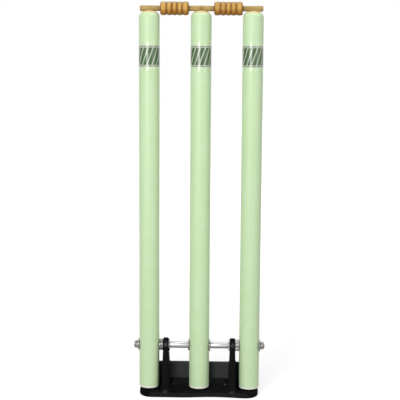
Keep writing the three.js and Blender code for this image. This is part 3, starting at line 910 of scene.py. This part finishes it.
class STUMPS_OT_casting(Operator):
    """Lays a rounded sand-cast skin over the base"""

    bl_idname = "stumps.add_casting"
    bl_label = "Add casting"

    def execute(self, context):
        sizes = context.scene.casting_settings
        node = "base_casting"
        bm = bmesh.new()
        bm.from_mesh(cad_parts[node].data)
        casting = link_mesh(bm, "casting_skin")
        skin = casting.modifiers.new("Skin", "REMESH")
        skin.mode = "VOXEL"
        skin.voxel_size = sizes.skin
        rounding = casting.modifiers.new("Rounding", "SMOOTH")
        rounding.iterations = sizes.rounds
        rounding.factor = 0.5
        settle(casting)
        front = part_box(node)[0].y
        for vert in casting.data.vertices:
            round_eye(vert, sizes)
            across = abs(vert.co.x - sizes.arch_middle) / sizes.arch_reach
            inwards = (vert.co.y - front) / sizes.arch_depth
            if across < 1 and inwards < 1 and vert.co.z < sizes.plate_top:
                rise = (1 - across * across) ** 2 * (1 - inwards) ** 2
                vert.co.z += sizes.arch_rise * rise * (1 - vert.co.z / sizes.plate_top)
        look = material("Casting paint", casting_paint, 30.0, 1100.0)
        dressed(casting, look, "base", [node], 180.0)
        return {"FINISHED"}


def threaded(radius, depth, pitch, start, end):
    """Outline points of a thread between two distances along a shank."""
    turns = max(1, int((end - start) / pitch))
    points = []
    for index in range(turns):
        at = start + index * pitch
        points += [(radius - depth, at), (radius, at + pitch * CREST_START), (radius, at + pitch * CREST_END)]
    points.append((radius - depth, start + turns * pitch))
    return points


class STUMPS_OT_rod(Operator):
    """Turns the pivot rod with its threaded ends, and its spacers and washers"""

    bl_idname = "stumps.add_rod"
    bl_label = "Add rod, spacers and washers"

    def execute(self, context):
        sizes = context.scene.hardware_settings
        reach = ROD_HIGH.x
        root = ROD_RADIUS - sizes.thread_depth
        chamfer_length, chamfer_depth = 0.0003, 0.0004
        span_of_thread = (reach - sizes.thread_run, reach - chamfer_depth)
        end = threaded(ROD_RADIUS, sizes.thread_depth, sizes.thread_pitch, *span_of_thread)
        end += [(root, reach - chamfer_length), (root - chamfer_depth, reach), (0, reach)]
        outline = [(radius, -along) for radius, along in reversed(end)] + end
        rod = link_mesh(turned(outline, PIVOT, X_AXIS, sizes.sides), "rod_threaded")
        dressed(rod, zinc_plate(), "base", ["pivot_rod"], 40.0)

        bore = ROD_RADIUS + FIT
        edge = sizes.edge
        for side in SIDES:
            washers = [f"{kind}_washer_{side}" for kind in ("middle", "eye", "outer")]
            washers += [f"stack_washer_{side}_{index}" for index in (1, 2, 3)]
            for node in [*washers, f"spacer_{side}"]:
                low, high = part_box(node)
                outer = (high.z - low.z) / 2
                outline = [
                    (bore, low.x + edge), (bore + edge, low.x),
                    *arc(outer - edge, low.x + edge, edge, -90, 0, 3),
                    *arc(outer - edge, high.x - edge, edge, 0, 90, 3),
                    (bore + edge, high.x), (bore, high.x - edge),
                ]
                name = node.replace("washer", "washer_punched").replace("spacer", "spacer_tube")
                piece = link_mesh(turned(outline, PIVOT, X_AXIS, sizes.sides, True), name)
                look = aged_zinc() if node in washers else zinc_plate()
                dressed(piece, look, "base", [node], 40.0)
        return {"FINISHED"}


def nut(name, centre, axis, flats, height, bore, sides, collar=None):
    """A hexagon nut along an axis from centre, with its corners turned off and, for a lock nut, a collar."""
    chamfer_share, face_share = 0.62, 0.97
    corner = flats / 2 / math.cos(math.pi / 6)
    chamfer = (corner - flats / 2) * chamfer_share
    face = flats / 2 * face_share
    bm = bmesh.new()
    bmesh.ops.create_circle(bm, cap_ends=True, segments=6, radius=corner)
    pushed = bmesh.ops.extrude_face_region(bm, geom=bm.faces[:])["geom"]
    bmesh.ops.translate(bm, verts=of_kind(pushed, BMVert), vec=(0, 0, height))
    turned_to = Z_AXIS.rotation_difference(axis).to_matrix().to_4x4()
    bmesh.ops.transform(bm, matrix=Matrix.Translation(centre) @ turned_to, verts=bm.verts)
    made = link_mesh(bm, name)
    rounding = [(0, 0), (face, 0), (corner, chamfer), (corner, height - chamfer), (face, height), (0, height)]
    joined(made, "INTERSECT", turned(rounding, centre, axis, sides))
    top = height
    if collar:
        radius, rise = collar
        lip, sunk, rim = 0.0005, 0.0006, 0.0012
        top += rise
        points = [(0, height - sunk), (radius, height - sunk), *arc(radius - lip, top - lip, lip, 0, 90, 4)]
        points += [(radius - rim, top), (0, top)]
        joined(made, "UNION", turned(points, centre, axis, sides))
    mouth, flare, proud = 0.001, 0.0015, 0.0003
    hole = [(0, -mouth), (bore + flare, -mouth), (bore, mouth / 2)]
    hole += [(bore, top - proud), (bore + 2 * proud, top + proud), (0, top + proud)]
    return joined(made, "DIFFERENCE", turned(hole, centre, axis, sides))


class STUMPS_OT_nuts(Operator):
    """Makes the rod's lock nuts and the anchor bolts' nuts"""

    bl_idname = "stumps.add_nuts"
    bl_label = "Add nuts"

    def execute(self, context):
        sizes = context.scene.hardware_settings
        look = aged_zinc()
        for side, sign in SIDES.items():
            node = f"rod_nut_{side}"
            low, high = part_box(node)
            height = high.x - low.x - sizes.collar_height
            flats = min(high.y - low.y, high.z - low.z)
            centre = Vector((low.x if sign > 0 else high.x, 0, PIVOT_Z))
            collar = (sizes.collar_radius, sizes.collar_height)
            bore = ROD_RADIUS + FIT
            made = nut(f"lock_nut_{side}", centre, X_AXIS * sign, flats, height, bore, sizes.sides, collar)
            dressed(made, look, "base", [node], 30.0)
        for place in PLACES:
            node = f"anchor_nut_{place}"
            low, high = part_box(node)
            flats = min(high.x - low.x, high.z - low.z)
            centre = Vector(((low.x + high.x) / 2, low.y, SPRING_Z))
            bore = sizes.bolt_radius + FIT
            made = nut(f"anchor_nut_hex_{place}", centre, Y_AXIS, flats, high.y - low.y, bore, sizes.sides)
            dressed(made, look, "base", [node], 30.0)
        return {"FINISHED"}


def eye_on_shank(name, x, ring_y, outline, sizes):
    """A level ring of round wire, joined to a shank that is turned to an outline along Y."""
    bm = bmesh.new()
    centre = Vector((x, ring_y, SPRING_Z))
    across = Matrix.Translation(centre + X_AXIS * sizes.ring_radius) @ Matrix.Rotation(math.pi / 2, 4, "X")
    bmesh.ops.create_circle(
        bm, cap_ends=False, segments=RING_SIDES, radius=sizes.ring_wire / 2, matrix=across
    )
    wire = bm.verts[:] + bm.edges[:]
    bmesh.ops.spin(
        bm, geom=wire, cent=centre, axis=Z_AXIS, angle=FULL_TURN, steps=RING_STEPS, use_merge=True
    )
    shank = turned(outline, Vector((x, 0, SPRING_Z)), Y_AXIS, sizes.sides // 2)
    return joined(link_mesh(bm, name), "UNION", shank)


class STUMPS_OT_eyes(Operator):
    """Makes the screw eyes in the posts and the anchor bolts at the back"""

    bl_idname = "stumps.add_eyes"
    bl_label = "Add screw eyes and anchor bolts"

    def execute(self, context):
        sizes = context.scene.hardware_settings
        look = zinc_plate()
        rim = sizes.ring_radius + sizes.ring_wire / 2
        for place in PLACES:
            node = f"screw_eye_{place}"
            low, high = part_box(node)
            x = (low.x + high.x) / 2
            radius, tip = sizes.screw_radius, sizes.screw_tip
            root = high.y - rim - sizes.ring_radius
            neck = root - SCREW_NECK
            thread = threaded(radius, SCREW_DEPTH, SCREW_PITCH, low.y + tip, neck - SCREW_RUN)
            outline = [(0, low.y), (radius * 0.55, low.y + tip * 0.5), *thread]
            outline += [(radius, neck), (radius, root), (0, root)]
            eye = eye_on_shank(f"eye_screw_{place}", x, high.y - rim, outline, sizes)
            dressed(eye, look, f"stump_{place}", [node], 40.0)

            node = f"anchor_bolt_{place}"
            low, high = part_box(node)
            radius = sizes.bolt_radius
            root = low.y + rim + sizes.ring_radius
            neck = root + BOLT_NECK
            point_length, point_depth = 0.0009, 0.0007
            span_of_thread = (neck + BOLT_RUN, high.y - point_length)
            thread = threaded(radius, sizes.bolt_depth, sizes.bolt_pitch, *span_of_thread)
            outline = [(0, root), (radius, root), (radius, neck), *thread]
            outline += [(radius - point_depth, high.y), (0, high.y)]
            bolt = eye_on_shank(f"bolt_eye_{place}", x, low.y + rim, outline, sizes)
            dressed(bolt, look, "base", [node], 40.0)
        return {"FINISHED"}


def straight_on(bm, geom, run, steps=3):
    """Draws a wire on from its end, straight along Y in even steps."""
    for _ in range(steps):
        pushed = bmesh.ops.extrude_edge_only(bm, edges=of_kind(geom, BMEdge))["geom"]
        geom = of_kind(pushed, (BMVert, BMEdge))
        bmesh.ops.translate(bm, verts=of_kind(geom, BMVert), vec=Vector((0, run, 0)) / steps)
    return geom


def bent_on(bm, geom, centre, axis, turn, steps, forwards=0.0):
    """Bends a wire on from its end about an axis, moving it along Y at each step where it winds."""
    dvec = (0, forwards, 0)
    made = bmesh.ops.spin(bm, geom=geom, cent=centre, axis=axis, dvec=dvec, angle=turn, steps=steps)
    return made["geom_last"]


class STUMPS_OT_springs(Operator):
    """Winds the three return springs, hooked into the eyes at both ends"""

    bl_idname = "stumps.add_springs"
    bl_label = "Add springs"

    def execute(self, context):
        sizes = context.scene.spring_settings
        look = spring_wire()
        hook = FULL_TURN * sizes.hook_share
        coil = sizes.curls * sizes.pitch
        for place in PLACES:
            node = f"return_spring_{place}"
            low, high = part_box(node)
            x = (low.x + high.x) / 2
            front = low.y + sizes.radius + sizes.wire / 2
            back = high.y - sizes.radius - sizes.wire / 2
            coil_start = front + sizes.lead_in
            top = Vector((x, coil_start, SPRING_Z + sizes.radius))
            upright = Matrix.Translation(top) @ Matrix.Rotation(math.pi / 2, 4, "X")
            bm = bmesh.new()
            bmesh.ops.create_circle(
                bm, cap_ends=False, segments=sizes.wire_sides, radius=sizes.wire / 2, matrix=upright
            )
            first = bm.verts[:] + bm.edges[:]
            line = Vector((x, 0, SPRING_Z))
            winding = (FULL_TURN * sizes.curls, sizes.curls * sizes.steps, sizes.pitch / sizes.steps)
            wound = bent_on(bm, first, line, Y_AXIS, *winding)
            ends = ((wound, back - coil_start - coil, back, -hook), (first, -sizes.lead_in, front, hook))
            for end, run, hook_y, turn in ends:
                end = straight_on(bm, end, run)
                end = bent_on(bm, end, Vector((x, hook_y, SPRING_Z)), X_AXIS, turn, sizes.hook_steps)
                bmesh.ops.edgeloop_fill(bm, edges=of_kind(end, BMEdge))
            spring = link_mesh(bm, f"coil_spring_{place}")
            dressed(spring, look, None, [node], 60.0)
            end = (x, sizes.moving, SPRING_Z)
            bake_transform(spring)
        return {"FINISHED"}


# Stage


def seen_through(tree):
    """1 for rays from the camera, and for those that mirrors and glass send on."""
    path = add(tree, "ShaderNodeLightPath").outputs
    shown = calc(tree, "MAXIMUM", path["Is Camera Ray"], path["Is Glossy Ray"])
    return calc(tree, "MAXIMUM", shown, path["Is Transmission Ray"])


def white_world(strength):
    """White all round for what the camera sees, and a plain light for what falls on the object."""
    world = bpy.data.worlds.new("Studio white")
    world.use_nodes = True
    tree = world.node_tree
    level = blend_value(tree, seen_through(tree), strength, 1.0)
    fill(tree, tree.nodes["Background"], {"Color": (1, 1, 1), "Strength": level})
    bpy.context.scene.world = world


def floor_white(floor_colour):
    """A matt pale floor that reaches white away from the object and keeps its shadow."""
    made = bpy.data.materials.new("Floor white")
    made.use_nodes = True
    tree = made.node_tree
    tree.nodes.remove(tree.nodes["Principled BSDF"])
    place = add(tree, "ShaderNodeTexCoord").outputs["Object"]
    grain = times(tree, noise(tree, place, 300.0, 2.0), 0.04)
    tint = blend_colour(tree, grain, floor_colour, (1, 1, 1))
    matt = add(tree, "ShaderNodeBsdfDiffuse", {"Color": tint, "Roughness": 1.0})
    away = add(tree, "ShaderNodeVectorMath", {0: place}, operation="LENGTH").outputs["Value"]
    lift = times(tree, span(tree, away, 0.25, 1.6, 0.76, 0.97), seen_through(tree))
    glow = add(tree, "ShaderNodeEmission", {"Color": (1, 1, 1), "Strength": lift})
    both = add(tree, "ShaderNodeAddShader", {0: matt.outputs[0], 1: glow.outputs[0]})
    fill(tree, tree.nodes["Material Output"], {"Surface": both.outputs[0]})
    return made


def soft_light(name, watts, size, place, aim):
    """A square area light turned towards a point."""
    light = bpy.data.lights.new(name, "AREA")
    light.shape = "SQUARE"
    light.size = size
    light.energy = watts
    facing = (Vector(aim) - Vector(place)).to_track_quat("-Z", "Y").to_matrix().to_4x4()
    put(name, light).matrix_world = Matrix.Translation(place) @ facing


class STUMPS_OT_stage(Operator):
    """Sets the floor, lights, camera and view"""

    bl_idname = "stumps.add_stage"
    bl_label = "Add stage"

    def execute(self, context):
        studio = context.scene.studio_settings
        bm = bmesh.new()
        bmesh.ops.create_grid(bm, x_segments=1, y_segments=1, size=8.0)
        floor = link_mesh(bm, "floor")
        if floor.data.polygons[0].normal.z < 0:
            floor.data.flip_normals()
        floor.data.materials.append(floor_white(studio.floor))

        white_world(studio.world)
        soft_light("Key light", studio.key, 1.1, (-0.9, -2.4, 0.95), (0, 0, 0.3))
        soft_light("Fill light", studio.fill, 1.6, (1.9, -1.6, 0.6), (0, 0, 0.3))
        soft_light("Top light", studio.top, 1.2, (0.1, 0.3, 2.4), (0, 0, 0.4))

        lens = bpy.data.cameras.new("Camera")
        lens.sensor_width = 36.0
        lens.lens = studio.lens
        lens.clip_start = 0.05
        lens.clip_end = 50.0
        camera = put("Camera", lens)
        camera.matrix_world = (
            Matrix.Translation((studio.camera_x, studio.camera_y, studio.camera_z))
            @ Matrix.Rotation(-studio.yaw, 4, "Z")
            @ Matrix.Rotation(math.pi / 2 - studio.tilt, 4, "X")
            @ Matrix.Rotation(studio.roll, 4, "Z")
        )
        context.scene.camera = camera
        context.scene.view_settings.view_transform = "Standard"
        return {"FINISHED"}


class STUMPS_PT_panel(Panel):
    """Lists the pieces in the 3D view's sidebar"""

    bl_idname = "STUMPS_PT_panel"
    bl_label = "Spring-back stumps"
    bl_space_type = "VIEW_3D"
    bl_region_type = "UI"
    bl_category = "Stumps"

    def draw(self, context):
        for operator, group in STEPS:
            self.layout.operator(operator.bl_idname)
            if group:
                settings = getattr(context.scene, group)
                box = self.layout.box()
                for name in settings.bl_rna.properties.keys():
                    if name not in ("rna_type", "name"):
                        box.prop(settings, name)


GROUPS = {
    "stump_settings": StumpSettings,
    "band_settings": BandSettings,
    "bail_settings": BailSettings,
    "casting_settings": CastingSettings,
    "hardware_settings": HardwareSettings,
    "spring_settings": SpringSettings,
    "studio_settings": StudioSettings,
}
STEPS = (
    (STUMPS_OT_stage, "studio_settings"),
    (STUMPS_OT_posts, "stump_settings"),
    (STUMPS_OT_bands, "band_settings"),
    (STUMPS_OT_bails, "bail_settings"),
    (STUMPS_OT_casting, "casting_settings"),
    (STUMPS_OT_rod, "hardware_settings"),
    (STUMPS_OT_nuts, None),
    (STUMPS_OT_eyes, None),
    (STUMPS_OT_springs, "spring_settings"),
)
CLASSES = (*GROUPS.values(), *(operator for operator, _ in STEPS), STUMPS_PT_panel)


def register():
    for cls in CLASSES:
        bpy.utils.register_class(cls)
    for name, group in GROUPS.items():
        setattr(bpy.types.Scene, name, PointerProperty(type=group))


def unregister():
    for name in GROUPS:
        delattr(bpy.types.Scene, name)
    for cls in reversed(CLASSES):
        bpy.utils.unregister_class(cls)


def main():
    """Registers the add-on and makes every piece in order."""
    register()
    for operator, _ in STEPS:
        group, name = operator.bl_idname.split(".")
        getattr(getattr(bpy.ops, group), name)()


if __name__ == "__main__":
    main()
